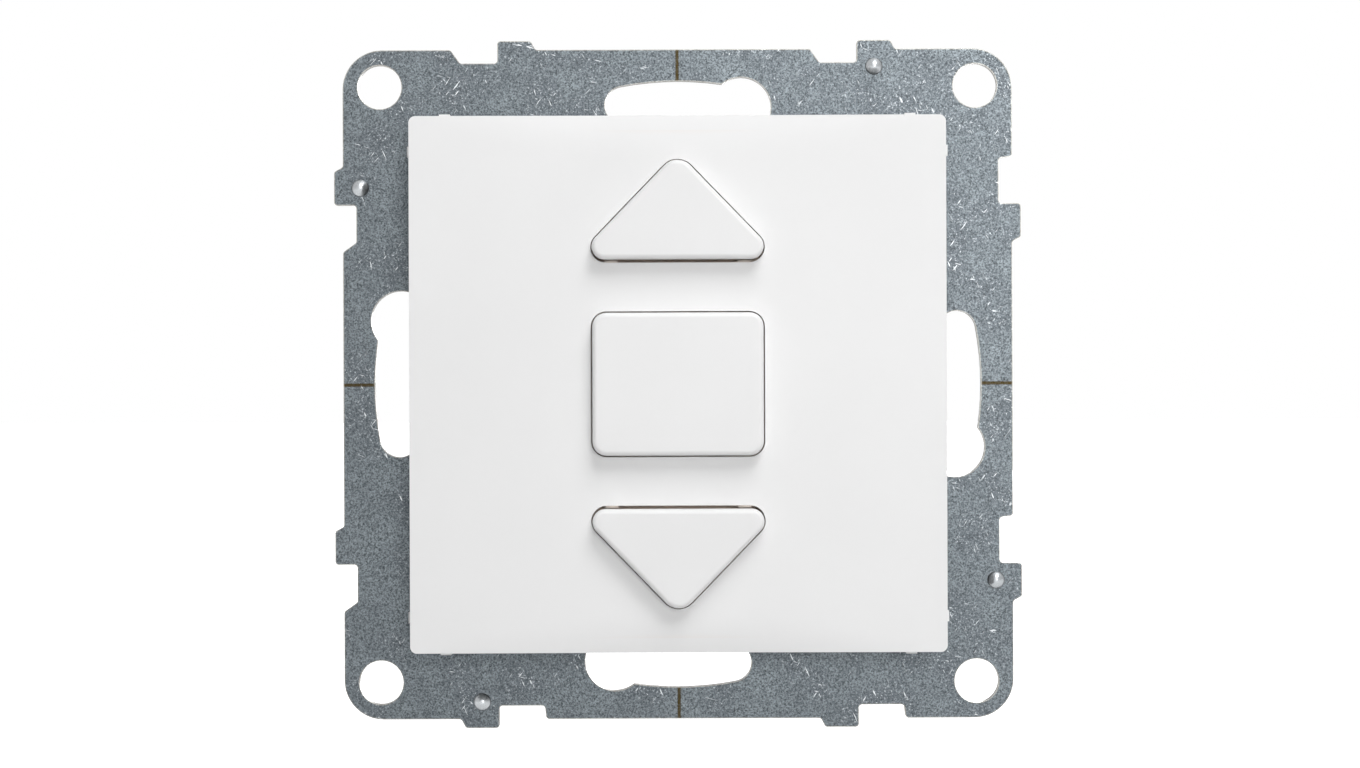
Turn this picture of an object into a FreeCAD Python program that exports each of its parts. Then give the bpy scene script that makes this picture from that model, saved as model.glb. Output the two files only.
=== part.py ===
import FreeCAD, Part
import math
import os
from types import SimpleNamespace

import Sketcher

# A roller shutter switch for a 60 mm wall box, with an up, a stop and a down key.
# The wall is the plane Y = 0. The room is on the -Y side, the wall box on the +Y side, and +Z is up.
# Each size is in millimetres or degrees and has its own cell in the sheet.
SIZES = [
    ("plate_size", 70.0),
    ("plate_thickness", 1.2),
    ("plate_corner_radius", 4.1),
    ("plate_opening_radius", 2.0),
    ("notch_length", 4.9),
    ("notch_depth", 1.4),
    ("notch_lead_in", 0.15),
    ("notch_long_lead_in", 1.0),
    ("tab_start", 18.8),
    ("tab_length", 3.5),
    ("tab_height", 0.92),
    ("tab_slope", 0.5),
    ("tab_edge_radius", 0.35),
    ("corner_hole_from_edge", 3.86),
    ("corner_hole_diameter", 4.6),
    ("slot_circle", 59.4),
    ("slot_width", 4.0),
    ("slot_end_angle", 10.8),
    ("keyhole_angle", 13.0),
    ("keyhole_diameter", 6.26),
    ("dome_along", 20.6),
    ("dome_from_edge", 1.8),
    ("dome_diameter", 1.65),
    ("dome_top_diameter", 0.8),
    ("dome_height", 0.5),
    ("claw_screw_from_lid", 3.6),
    ("claw_screw_diameter", 2.9),
    ("claw_screw_length", 17.0),
    ("claw_head_diameter", 4.8),
    ("claw_head_height", 1.9),
    ("claw_head_bevel", 0.45),
    ("driver_slot_width", 0.8),
    ("driver_slot_depth", 1.0),
    ("cover_size", 55.0),
    ("cover_height", 9.5),
    ("cover_skirt_height", 2.6),
    ("cover_corner_radius", 0.7),
    ("cover_face_thickness", 1.8),
    ("cover_wall", 1.3),
    ("crown_drop_radius", 20.0),
    ("crown_sagitta", 4.0),
    ("nub_spacing", 48.0),
    ("nub_length", 1.1),
    ("nub_width", 1.6),
    ("nub_height", 0.35),
    ("clip_spacing", 24.0),
    ("clip_width", 4.0),
    ("clip_thickness", 1.2),
    ("clip_barb", 0.7),
    ("clip_barb_length", 1.1),
    ("rib_thickness", 1.2),
    ("rib_length", 34.0),
    ("rib_place", 9.9),
    ("stop_width", 17.8),
    ("stop_height", 14.9),
    ("arrow_base", 12.43),
    ("arrow_tip", 23.03),
    ("arrow_slope", 46.0),
    ("arrow_tip_radius", 2.0),
    ("arrow_foot_radius", 1.3),
    ("key_corner_radius", 1.6),
    ("key_gap", 0.16),
    ("arrow_base_gap", 0.33),
    ("key_stand", 1.8),
    ("key_travel", 1.6),
    ("key_edge_radius", 0.5),
    ("key_wall", 1.2),
    ("key_top", 1.5),
    ("key_rim_height", 6.6),
    ("key_flange", 0.8),
    ("key_flange_thickness", 1.0),
    ("key_stem_radius", 1.6),
    ("arrow_stem_place", 16.2),
    ("guide_rib_place", 6.8),
    ("guide_rib_width", 1.35),
    ("guide_rib_depth", 0.4),
    ("lid_height", 4.8),
    ("lid_thickness", 1.5),
    ("lid_wall", 1.6),
    ("lid_edge_bevel", 0.4),
    ("collar_wall", 1.2),
    ("collar_depth", 1.5),
    ("hook_width", 5.0),
    ("hook_place", 10.0),
    ("hook_depth", 4.8),
    ("hook_room", 1.1),
    ("hook_barb", 1.8),
    ("hook_barb_length", 1.2),
    ("housing_width", 40.0),
    ("housing_height", 43.0),
    ("housing_depth", 24.2),
    ("housing_wall", 1.6),
    ("housing_rear_wall", 2.0),
    ("housing_corner_radius", 5.0),
    ("housing_edge_bevel", 0.8),
    ("plunger_place", 14.6),
    ("plunger_width", 8.0),
    ("plunger_thickness", 4.4),
    ("plunger_gap", 0.15),
    ("crossbar_half_length", 13.2),
    ("crossbar_width", 2.0),
    ("crossbar_thickness", 1.6),
    ("blade_place", 8.0),
    ("blade_width", 4.0),
    ("blade_thickness", 0.4),
    ("blade_hinge_place", 2.5),
    ("blade_root", 1.9),
    ("blade_end", 17.3),
    ("blade_depth", 3.55),
    ("foot_radius", 0.6),
    ("foot_reach", 3.4),
    ("foot_width", 3.0),
    ("contact_radius", 1.4),
    ("contact_place", 15.8),
    ("contact_height", 0.6),
    ("strip_thickness", 0.8),
    ("strip_width", 3.6),
    ("line_bar_half_length", 10.0),
    ("line_bar_width", 4.6),
    ("wire_hole_diameter", 2.5),
    ("wire_funnel_diameter", 3.8),
    ("wire_funnel_depth", 0.7),
    ("wire_diameter", 2.0),
    ("terminal_across", 9.0),
    ("terminal_up", 13.0),
    ("terminal_end_depth", 20.0),
    ("chamber_wall", 1.1),
    ("chamber_inner_width", 4.4),
    ("chamber_depth", 10.0),
    ("clamp_hinge_across", 5.5),
    ("clamp_hinge_from_rear", 6.7),
    ("clamp_pin_radius", 0.8),
    ("clamp_curl_thickness", 0.4),
    ("clamp_width", 3.2),
    ("clamp_angle", 20.0),
    ("clamp_length", 6.8),
    ("pusher_across", 3.1),
    ("pusher_thickness", 2.0),
    ("pusher_tip_thickness", 0.8),
    ("pusher_tip_across", 2.9),
    ("pusher_tip_lead", 0.35),
    ("pusher_tip_length", 1.85),
    ("pusher_width", 3.4),
    ("pusher_stand", 0.5),
    ("pusher_flange", 0.3),
    ("latch_across", 14.2),
    ("latch_width", 1.6),
    ("latch_depth", 0.6),
    ("latch_thickness", 2.0),
    ("latch_half_length", 16.4),
    ("latch_hook_length", 0.65),
    ("latch_hook_thickness", 0.9),
    ("latch_hook_reach", 11.6),
    ("latch_lug_end", 3.6),
    ("latch_face_place", 1.1),
    ("latch_ratio", 0.5),
    ("latch_rail_place", 8.0),
    ("latch_rail_width", 1.6),
    ("wedge_inner", 11.5),
    ("wedge_length", 1.6),
    ("spring_radius", 1.8),
    ("spring_wire", 0.4),
    ("spring_turns", 2.5),
    ("spring_post_depth", 6.5),
    ("spring_post_radius", 2.2),
    ("spring_pin_radius", 1.0),
    ("spring_pin_length", 1.2),
    ("leaf_thickness", 0.25),
    ("leaf_width", 1.8),
    ("claw_hinge_from_lid", 0.85),
    ("claw_hinge_depth", 9.0),
    ("claw_roll_radius", 0.7),
    ("claw_thickness", 1.2),
    ("claw_width", 8.0),
    ("claw_hole_inward", 1.7),
    ("claw_hole_outward", 2.05),
    ("claw_hole_width", 3.5),
    ("claw_arm_from_lid", 6.0),
    ("claw_arm_end", 19.0),
    ("claw_tooth_height", 1.0),
    ("claw_ledge_length", 1.2),
    ("claw_ledge_height", 9.0),
    ("running_gap", 0.1),
    ("sliding_gap", 0.2),
]

doc = FreeCAD.newDocument("RollerShutterSwitch")
sheet = doc.addObject("Spreadsheet::Sheet", "Sizes")
for row, (alias, number) in enumerate(SIZES, start=1):
    sheet.set(f"A{row}", alias.replace("_", " "))
    sheet.set(f"B{row}", str(number))
    sheet.setAlias(f"B{row}", alias)
doc.recompute()


class Size:
    """A size worked out from the sheet: its number, and the expression that binds it there."""

    def __init__(self, number, text):
        self.number = number
        self.text = text

    def __add__(self, other):
        return Size(self.number + number_of(other), f"({self.text} + {text_of(other)})")

    def __radd__(self, other):
        return self + other

    def __sub__(self, other):
        return Size(self.number - number_of(other), f"({self.text} - {text_of(other)})")

    def __rsub__(self, other):
        return Size(number_of(other) - self.number, f"({text_of(other)} - {self.text})")

    def __mul__(self, other):
        return Size(self.number * number_of(other), f"({self.text} * {text_of(other)})")

    def __rmul__(self, other):
        return self * other

    def __truediv__(self, other):
        return Size(self.number / number_of(other), f"({self.text} / {text_of(other)})")

    def __neg__(self):
        return Size(-self.number, f"(0 - {self.text})")


def number_of(value):
    return value.number if isinstance(value, Size) else float(value)


def text_of(value):
    return value.text if isinstance(value, Size) else repr(float(value))


def sine(angle):
    return Size(math.sin(math.radians(angle.number)), f"sin({angle.text})")


def cosine(angle):
    return Size(math.cos(math.radians(angle.number)), f"cos({angle.text})")


def tangent(angle):
    return Size(math.tan(math.radians(angle.number)), f"tan({angle.text})")


def root(value):
    return Size(math.sqrt(value.number), f"sqrt({value.text})")


size = SimpleNamespace(**{alias: Size(float(number), f"Sizes.{alias}") for alias, number in SIZES})

# For each axis that a profile is pushed along: its sketch plane, and which way that plane faces.
PLANES = {"x": ("YZ_Plane", 1), "y": ("XZ_Plane", -1), "z": ("XY_Plane", 1)}
# What a rounded and a bevelled edge call their width.
EDGE_WIDTHS = {"Fillet": "Radius", "Chamfer": "Size"}
HALF_TURN = FreeCAD.Rotation(FreeCAD.Vector(0, 1, 0), 180)
ALONG_Y = FreeCAD.Rotation(FreeCAD.Vector(1, 0, 0), -90)

bodies = []


def new_body(name, turned=False, across=0, up=0):
    """A body named for its piece, placed in the wall plane, upright or turned half round."""
    body = doc.addObject("PartDesign::Body", name)
    body.Label = name
    if turned:
        body.Placement = FreeCAD.Placement(FreeCAD.Vector(), HALF_TURN)
    body.setExpression("Placement.Base.x", text_of(across))
    body.setExpression("Placement.Base.z", text_of(up))
    bodies.append(body)
    return body


def origin_part(body, role):
    return next(part for part in body.Origin.OriginFeatures if part.Role == role)


def bind_all(feature, bindings):
    for name, value in bindings.items():
        feature.setExpression(name, text_of(value))


def add_feature(body, kind, name, bindings):
    feature = body.newObject(f"PartDesign::{kind}", name)
    bind_all(feature, bindings)
    body.Tip = feature
    return feature


def new_sketch(body, name, axis, place=0, shift=0):
    """A sketch square to an axis, at a place along it, with its origin shifted along its height."""
    plane, facing = PLANES[axis]
    sketch = body.newObject("Sketcher::SketchObject", name)
    sketch.AttachmentSupport = [(origin_part(body, plane), "")]
    sketch.MapMode = "FlatFace"
    sketch.setExpression("AttachmentOffset.Base.y", text_of(shift))
    sketch.setExpression("AttachmentOffset.Base.z", text_of(facing * place))
    return sketch


def constrain(sketch, *rule, value=None):
    """Adds a constraint, and binds its number to the sheet where it has one."""
    if value is None:
        sketch.addConstraint(Sketcher.Constraint(*rule))
        return
    index = sketch.addConstraint(Sketcher.Constraint(*rule, number_of(value)))
    sketch.setExpression(f"Constraints[{index}]", text_of(value))


def fix_point(sketch, curve, end, across, up):
    constrain(sketch, "DistanceX", -1, 1, curve, end, value=across)
    constrain(sketch, "DistanceY", -1, 1, curve, end, value=up)


def draw_polygon(sketch, corners):
    """A closed outline of straight lines through its corners."""
    points = [FreeCAD.Vector(number_of(across), number_of(up), 0) for across, up in corners]
    first = sketch.GeometryCount
    count = len(points)
    for index, point in enumerate(points):
        sketch.addGeometry(Part.LineSegment(point, points[(index + 1) % count]), False)
    for index, (across, up) in enumerate(corners):
        constrain(sketch, "Coincident", first + index, 2, first + (index + 1) % count, 1)
        fix_point(sketch, first + index, 1, across, up)


def draw_circle(sketch, across, up, radius):
    centre = FreeCAD.Vector(number_of(across), number_of(up), 0)
    circle = sketch.addGeometry(
        Part.Circle(centre, FreeCAD.Vector(0, 0, 1), number_of(radius)), False)
    constrain(sketch, "Radius", circle, value=radius)
    fix_point(sketch, circle, 3, across, up)


def draw_rounded(sketch, corners):
    """A closed outline of corner arcs and the straight lines that touch them, anticlockwise."""
    centres = [FreeCAD.Vector(number_of(across), number_of(up), 0) for across, up, _ in corners]
    radii = [number_of(radius) for _, _, radius in corners]
    count = len(corners)
    facings = []
    for index, centre in enumerate(centres):
        after = (index + 1) % count
        run = centres[after] - centre
        lean = math.asin((radii[index] - radii[after]) / run.Length)
        facings.append(math.atan2(run.y, run.x) - math.pi / 2 + lean)
    first = sketch.GeometryCount
    for index, centre in enumerate(centres):
        after = (index + 1) % count
        out = FreeCAD.Vector(math.cos(facings[index]), math.sin(facings[index]), 0)
        circle = Part.Circle(centre, FreeCAD.Vector(0, 0, 1), radii[index])
        sketch.addGeometry(Part.ArcOfCircle(circle, facings[index - 1], facings[index]), False)
        sketch.addGeometry(
            Part.LineSegment(centre + out * radii[index], centres[after] + out * radii[after]), False)
    for index, (across, up, radius) in enumerate(corners):
        arc, line = first + 2 * index, first + 2 * index + 1
        next_arc = first + 2 * ((index + 1) % count)
        constrain(sketch, "Tangent", arc, 2, line, 1)
        constrain(sketch, "Tangent", line, 2, next_arc, 1)
        constrain(sketch, "Radius", arc, value=radius)
        fix_point(sketch, arc, 3, across, up)


def rounded_rectangle(half_width, half_height, radius, across=0, up=0):
    """The corner arcs of a rectangle, anticlockwise."""
    wide, high = half_width - radius, half_height - radius
    return [(across + side * wide, up + level * high, radius)
            for side, level in ((1, -1), (1, 1), (-1, 1), (-1, -1))]


def extrude(body, name, axis, low, high, outlines, cut=False):
    """Adds or cuts outlines between two places on an axis: circles, polygons or rounded ones."""
    facing = PLANES[axis][1]
    starts_low = (facing > 0) != cut
    sketch = new_sketch(body, name + "_sketch", axis, low if starts_low else high)
    for outline in outlines:
        if len(outline) == 1:
            draw_circle(sketch, *outline[0])
        elif len(outline[0]) == 3:
            draw_rounded(sketch, outline)
        else:
            draw_polygon(sketch, outline)
    kind = "Pocket" if cut else "Pad"
    feature = add_feature(body, kind, name, {"Length": high - low})
    feature.Profile = sketch
    return feature


def block(body, name, x, y, z, cut=False):
    """Adds or cuts a box between two places on each axis."""
    box = add_feature(body, "SubtractiveBox" if cut else "AdditiveBox", name, {
        "Length": x[1] - x[0], "Width": y[1] - y[0], "Height": z[1] - z[0],
        "Placement.Base.x": x[0], "Placement.Base.y": y[0], "Placement.Base.z": z[0]})
    return box


def rod(body, name, radius, low, high, across=0, up=0, cut=False):
    """Adds or cuts a cylinder along Y between two depths."""
    kind = "SubtractiveCylinder" if cut else "AdditiveCylinder"
    cylinder = body.newObject(f"PartDesign::{kind}", name)
    cylinder.Placement = FreeCAD.Placement(FreeCAD.Vector(), ALONG_Y)
    bind_all(cylinder, {
        "Radius": radius, "Height": high - low,
        "Placement.Base.x": across, "Placement.Base.y": low, "Placement.Base.z": up})
    body.Tip = cylinder
    return cylinder


def cone(body, name, radius_low, radius_high, low, high, across, up, cut=False):
    """Adds or cuts a blunt cone along Y between two depths, with its radius at each."""
    kind = "SubtractiveCone" if cut else "AdditiveCone"
    feature = body.newObject(f"PartDesign::{kind}", name)
    feature.Placement = FreeCAD.Placement(FreeCAD.Vector(), ALONG_Y)
    bind_all(feature, {
        "Radius1": radius_low, "Radius2": radius_high, "Height": high - low,
        "Placement.Base.x": across, "Placement.Base.y": low, "Placement.Base.z": up})
    body.Tip = feature
    return feature


def pin(body, name, radius, low, high, across, depth, cut=False):
    """Adds or cuts a cylinder along Z between two heights."""
    return add_feature(body, "SubtractiveCylinder" if cut else "AdditiveCylinder", name, {
        "Radius": radius, "Height": high - low,
        "Placement.Base.x": across, "Placement.Base.y": depth, "Placement.Base.z": low})


def centred(place, width):
    return (place - width / 2, place + width / 2)


def both_ways(half):
    return (-half, half)


def pattern_round(body, feature, count, angle=360):
    """Repeats the feature just made, about the axis that points into the wall."""
    pattern = body.newObject("PartDesign::PolarPattern", feature.Name + "_pattern")
    pattern.Originals = [feature]
    pattern.Axis = (origin_part(body, "Y_Axis"), [""])
    pattern.Angle = angle
    pattern.Occurrences = count
    body.Tip = pattern


def mirror(body, name, features, plane):
    mirrored = body.newObject("PartDesign::Mirrored", name)
    mirrored.Originals = features
    mirrored.MirrorPlane = (origin_part(body, plane), [""])
    body.Tip = mirrored
    return mirrored


def finish_edges(body, kind, name, width, wanted):
    """Rounds or bevels the edges of the body so far that the test picks out."""
    doc.recompute()
    base = body.Tip
    names = [f"Edge{index}" for index, edge in enumerate(base.Shape.Edges, start=1) if wanted(edge)]
    feature = add_feature(body, kind, name, {EDGE_WIDTHS[kind]: width})
    feature.Base = (base, names)


def lies_at_depth(edge, depth):
    """Whether an edge lies wholly in the plane of one depth."""
    box = edge.BoundBox
    return abs(box.YMin - depth.number) < 1e-4 and abs(box.YMax - depth.number) < 1e-4


# Depths that more than one piece shares. A depth in front of the wall is negative.
plate_front = -size.plate_thickness
cover_face = -size.cover_height
cover_inside = cover_face + size.cover_face_thickness
cover_rear = -size.cover_skirt_height
key_face = cover_face - size.key_stand
key_rim = -size.key_rim_height
lid_front = -size.lid_height
lid_inside = lid_front + size.lid_thickness
plunger_front = key_rim + size.sliding_gap
crossbar_front = lid_inside + size.running_gap
crossbar_rear = crossbar_front + size.crossbar_thickness
housing_inside = size.housing_depth - size.housing_rear_wall
blade_rear = size.blade_depth + size.blade_thickness
line_bar_front = blade_rear + size.running_gap
line_bar_rear = line_bar_front + size.strip_thickness
clamp_hinge_depth = size.housing_depth - size.clamp_hinge_from_rear
pusher_tip = clamp_hinge_depth - size.pusher_tip_lead
pusher_shoulder = pusher_tip + size.pusher_tip_length
contact_swing = ((size.contact_place + size.contact_radius - size.blade_hinge_place)
                 / (size.plunger_place - size.blade_hinge_place))
contact_front = blade_rear + size.contact_height + size.key_travel * contact_swing + size.running_gap
contact_strip_front = contact_front + size.contact_height
latch_rear = size.latch_thickness - size.latch_depth
# Half sizes that one piece takes from another.
lid_half_width = size.housing_width / 2
lid_half_height = size.housing_height / 2
housing_inner_width = lid_half_width - size.housing_wall
housing_inner_height = lid_half_height - size.housing_wall
collar_half_width = housing_inner_width - size.sliding_gap
collar_half_height = housing_inner_height - size.hook_room
hook_inner = collar_half_height - size.collar_wall
claw_screw_across = lid_half_width + size.claw_screw_from_lid
# The wire lies against the terminal strip, which is seen from the wire hole's axis.
strip_face_across = -size.wire_diameter / 2
# Each terminal: its name, whether it is turned half round, and the place of its wire hole.
TERMINALS = [
    ("line", False, 0, 0),
    ("up", True, size.terminal_across, size.terminal_up),
    ("down", False, -size.terminal_across, -size.terminal_up),
]
# The two ways: the name of each, and whether its pieces are turned half round.
WAYS = [("up", False), ("down", True)]


def build_mounting_plate():
    """A stamped steel plate with four equal sides. Its features are drawn once and turned."""
    body = new_body("mounting_plate")
    half = size.plate_size / 2
    sheet_metal = rounded_rectangle(half, half, size.plate_corner_radius)
    extrude(body, "sheet", "y", plate_front, 0, [sheet_metal])
    notch_floor = half - size.notch_depth
    tab_top = half + size.tab_height
    tabs, notches = [], []
    for side in (-1, 1):
        start = side * size.tab_start
        end = start + size.tab_length
        notch_start = start - size.notch_length
        tabs.append([(start, notch_floor), (end, notch_floor), (end + size.tab_slope, half),
                     (end, tab_top), (start, tab_top)])
        notches.append([(notch_start, half), (notch_start + size.notch_long_lead_in, notch_floor),
                        (start, notch_floor), (start, tab_top), (notch_start, tab_top)])
    pattern_round(body, extrude(body, "tabs", "y", plate_front, 0, tabs), 4)
    pattern_round(body, extrude(body, "notches", "y", plate_front, 0, notches, cut=True), 4)
    circle = size.slot_circle / 2
    section = new_sketch(body, "slot_section", "z")
    inner, outer = circle - size.slot_width / 2, circle + size.slot_width / 2
    draw_polygon(section, [(inner, plate_front), (outer, plate_front), (outer, 0), (inner, 0)])
    slot = add_feature(body, "Groove", "arc_slot", {})
    slot.Profile = section
    slot.ReferenceAxis = (section, ["V_Axis"])
    slot.Type = "TwoAngles"
    bind_all(slot, {"Angle": size.keyhole_angle, "Angle2": size.slot_end_angle})
    pattern_round(body, slot, 4)
    slot_end = rod(body, "slot_end", size.slot_width / 2, plate_front, 0,
                   circle * cosine(size.slot_end_angle), circle * sine(size.slot_end_angle), cut=True)
    pattern_round(body, slot_end, 4)
    keyhole = rod(body, "keyhole", size.keyhole_diameter / 2, plate_front, 0,
                  circle * cosine(size.keyhole_angle), -circle * sine(size.keyhole_angle), cut=True)
    pattern_round(body, keyhole, 4)
    hole_place = half - size.corner_hole_from_edge
    corner_hole = rod(body, "corner_hole", size.corner_hole_diameter / 2, plate_front, 0,
                      hole_place, hole_place, cut=True)
    pattern_round(body, corner_hole, 4)
    # Each pressed dome narrows to a small flat top.
    dome = cone(body, "dome", size.dome_top_diameter / 2, size.dome_diameter / 2,
                plate_front - size.dome_height, plate_front,
                size.dome_along, half - size.dome_from_edge)
    pattern_round(body, dome, 4)
    # On the right and the bottom side the notches start square instead of with a long lead-in.
    corners = []
    for side in (-1, 1):
        notch_start = side * size.tab_start - size.notch_length
        corners.append([(half, -notch_start), (notch_floor, -notch_start - size.notch_lead_in),
                        (notch_floor, -notch_start - size.notch_long_lead_in)])
    square_start = extrude(body, "square_start", "y", plate_front, 0, corners, cut=True)
    pattern_round(body, square_start, 2, 90)
    span = (size.tab_start + size.notch_length + size.tab_slope).number

    def is_rim_corner(edge):
        middle = edge.BoundBox.Center
        upright = edge.BoundBox.YLength > plate_front.number * -0.99
        far, near = sorted((abs(middle.x), abs(middle.z)), reverse=True)
        return upright and far > notch_floor.number - 0.01 and near < span
    finish_edges(body, "Fillet", "rim_rounding", size.tab_edge_radius, is_rim_corner)
    opening = rounded_rectangle(collar_half_width + size.sliding_gap,
                                collar_half_height + size.sliding_gap, size.plate_opening_radius)
    extrude(body, "opening", "y", plate_front, 0, [opening], cut=True)
    for side, name in ((-1, "left"), (1, "right")):
        rod(body, f"{name}_screw_hole", size.claw_screw_diameter / 2 + size.sliding_gap,
            plate_front, 0, side * claw_screw_across, 0, cut=True)


def arrow_outline(inward, base_inward, radius, tip_radius):
    """The rounded triangle of an arrow key, moved inwards from its opening in the cover."""
    base = size.arrow_base + base_inward
    tip = (size.arrow_tip - size.arrow_tip_radius
           + (size.arrow_tip_radius - inward - tip_radius) / cosine(size.arrow_slope))
    rise = tip + tip_radius / cosine(size.arrow_slope) - base
    corner = rise / tangent(size.arrow_slope) - radius / tangent(size.arrow_slope / 2)
    return [(corner, base + radius, radius), (0, tip, tip_radius), (-corner, base + radius, radius)]


def stop_outline(inward, radius):
    return rounded_rectangle(size.stop_width / 2 - inward, size.stop_height / 2 - inward, radius)


def turned_round(outline):
    """An outline of corner arcs, turned half round the centre of the switch."""
    return [(-across, -up, radius) for across, up, radius in outline]


def build_cover():
    """The moulded cover: a face with a drop at top and bottom, a skirt, three openings and clips."""
    body = new_body("cover_plate")
    half = size.cover_size / 2
    extrude(body, "outside", "y", cover_face, cover_rear,
            [rounded_rectangle(half, half, size.cover_corner_radius)])
    # The face is flat inside a circle that meets both upper corners, and falls away outside it.
    sagitta = size.crown_sagitta
    crown = (half * half + sagitta * sagitta) / (sagitta * 2)
    drop = size.crown_drop_radius
    reach = sagitta * 1.5
    fall = drop - root(drop * drop - reach * reach)
    axis_height = half - sagitta + crown
    section = new_sketch(body, "crown_section", "x", 0, axis_height)
    front = cover_face - size.key_stand
    corners = [(front, -crown), (cover_face, -crown), (cover_face + fall, reach - crown),
               (front, reach - crown)]
    points = [FreeCAD.Vector(number_of(depth), number_of(up), 0) for depth, up in corners]
    centre = FreeCAD.Vector((cover_face + drop).number, -crown.number, 0)
    circle = Part.Circle(centre, FreeCAD.Vector(0, 0, 1), drop.number)
    end_angle = math.pi - math.asin(reach.number / drop.number)
    section.addGeometry(Part.LineSegment(points[0], points[1]), False)
    section.addGeometry(Part.ArcOfCircle(circle, end_angle, math.pi), False)
    section.addGeometry(Part.LineSegment(points[2], points[3]), False)
    section.addGeometry(Part.LineSegment(points[3], points[0]), False)
    constrain(section, "Coincident", 0, 2, 1, 2)
    constrain(section, "Coincident", 1, 1, 2, 1)
    constrain(section, "Coincident", 2, 2, 3, 1)
    constrain(section, "Coincident", 3, 2, 0, 1)
    fix_point(section, 0, 1, *corners[0])
    fix_point(section, 0, 2, *corners[1])
    fix_point(section, 1, 3, cover_face + drop, -crown)
    constrain(section, "DistanceY", -1, 1, 1, 1, value=corners[2][1])
    fix_point(section, 2, 2, *corners[3])
    drop_cut = add_feature(body, "Groove", "face_drop", {})
    drop_cut.Profile = section
    drop_cut.ReferenceAxis = (section, ["H_Axis"])
    drop_cut.Angle = 360
    mirror(body, "face_drops", [drop_cut], "XY_Plane")
    inner = half - size.cover_wall
    block(body, "inside", both_ways(inner), (cover_inside, cover_rear), both_ways(inner), cut=True)
    arrow = arrow_outline(0, 0, size.key_corner_radius, size.arrow_tip_radius)
    extrude(body, "key_openings", "y", front, cover_inside,
            [arrow, turned_round(arrow), stop_outline(0, size.key_corner_radius)], cut=True)
    # Short ribs in the openings guide the keys.
    rib_front = cover_face + size.guide_rib_depth
    arrow_rib_up = (size.arrow_base - size.rib_thickness / 2,
                    size.arrow_base + size.arrow_base_gap - size.running_gap)
    for side, place in (("left", -size.guide_rib_place), ("right", size.guide_rib_place)):
        rib = block(body, f"{side}_guide_rib", centred(place, size.guide_rib_width),
                    (rib_front, cover_inside), arrow_rib_up)
        pattern_round(body, rib, 2)
    # Cross ribs rest on the lid, and four clips snap into its pockets.
    for name, place in (("lower", -size.rib_place), ("upper", size.rib_place)):
        block(body, f"{name}_cross_rib", both_ways(size.rib_length / 2), (cover_inside, lid_front),
              centred(place, size.rib_thickness))
    clip_foot = lid_half_height + size.sliding_gap
    barb_front = lid_inside + size.sliding_gap
    barb_rear = barb_front + size.clip_barb_length
    clip_back = clip_foot + size.clip_thickness
    profile = [(cover_inside, clip_foot), (barb_front, clip_foot),
               (barb_front, clip_foot - size.clip_barb), (barb_rear, clip_foot),
               (barb_rear, clip_back), (cover_inside, clip_back)]
    for side, place in (("left", -size.clip_spacing / 2), ("right", size.clip_spacing / 2)):
        low, high = centred(place, size.clip_width)
        clip = extrude(body, f"{side}_clip", "x", low, high, [profile])
        pattern_round(body, clip, 2)
    # Nubs on the skirt hold the frame that goes round the cover.
    nub_depth = (cover_rear + cover_face) / 2
    for name, place in (("first", -size.nub_spacing / 2), ("second", size.nub_spacing / 2)):
        nub = block(body, f"{name}_nub", (half - size.cover_wall / 2, half + size.nub_height),
                    centred(nub_depth, size.nub_width), centred(place, size.nub_length))
        pattern_round(body, nub, 4)


def build_key(name, outline, turned, stem_up):
    """A hollow key cap with a flange that keeps it in the cover, and a stem on its plunger."""
    body = new_body(name, turned)
    extrude(body, "cap", "y", key_face, key_rim, [outline(0)])
    finish_edges(body, "Fillet", "edge_rounding", size.key_edge_radius,
                 lambda edge: lies_at_depth(edge, key_face))
    extrude(body, "flange", "y", key_rim - size.key_flange_thickness, key_rim,
            [outline(-size.key_flange - size.key_gap)])
    extrude(body, "hollow", "y", key_face + size.key_top, key_rim,
            [outline(size.key_wall, size.key_edge_radius, size.key_edge_radius)], cut=True)
    rod(body, "stem", size.key_stem_radius, key_face + size.key_top, plunger_front, 0, stem_up)


def build_keys():
    gap, base_gap = size.key_gap, size.arrow_base_gap
    foot, tip = size.arrow_foot_radius, size.arrow_tip_radius - gap
    corner = size.key_corner_radius - gap

    def arrow(inward, radius=foot, tip_radius=tip):
        return arrow_outline(gap + inward, base_gap + inward, radius, tip_radius)

    def stop(inward, radius=corner, tip_radius=tip):
        return stop_outline(gap + inward, radius)

    for way, turned in WAYS:
        build_key(f"{way}_button", arrow, turned, size.arrow_stem_place)
    build_key("stop_button", stop, False, 0)


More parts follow.
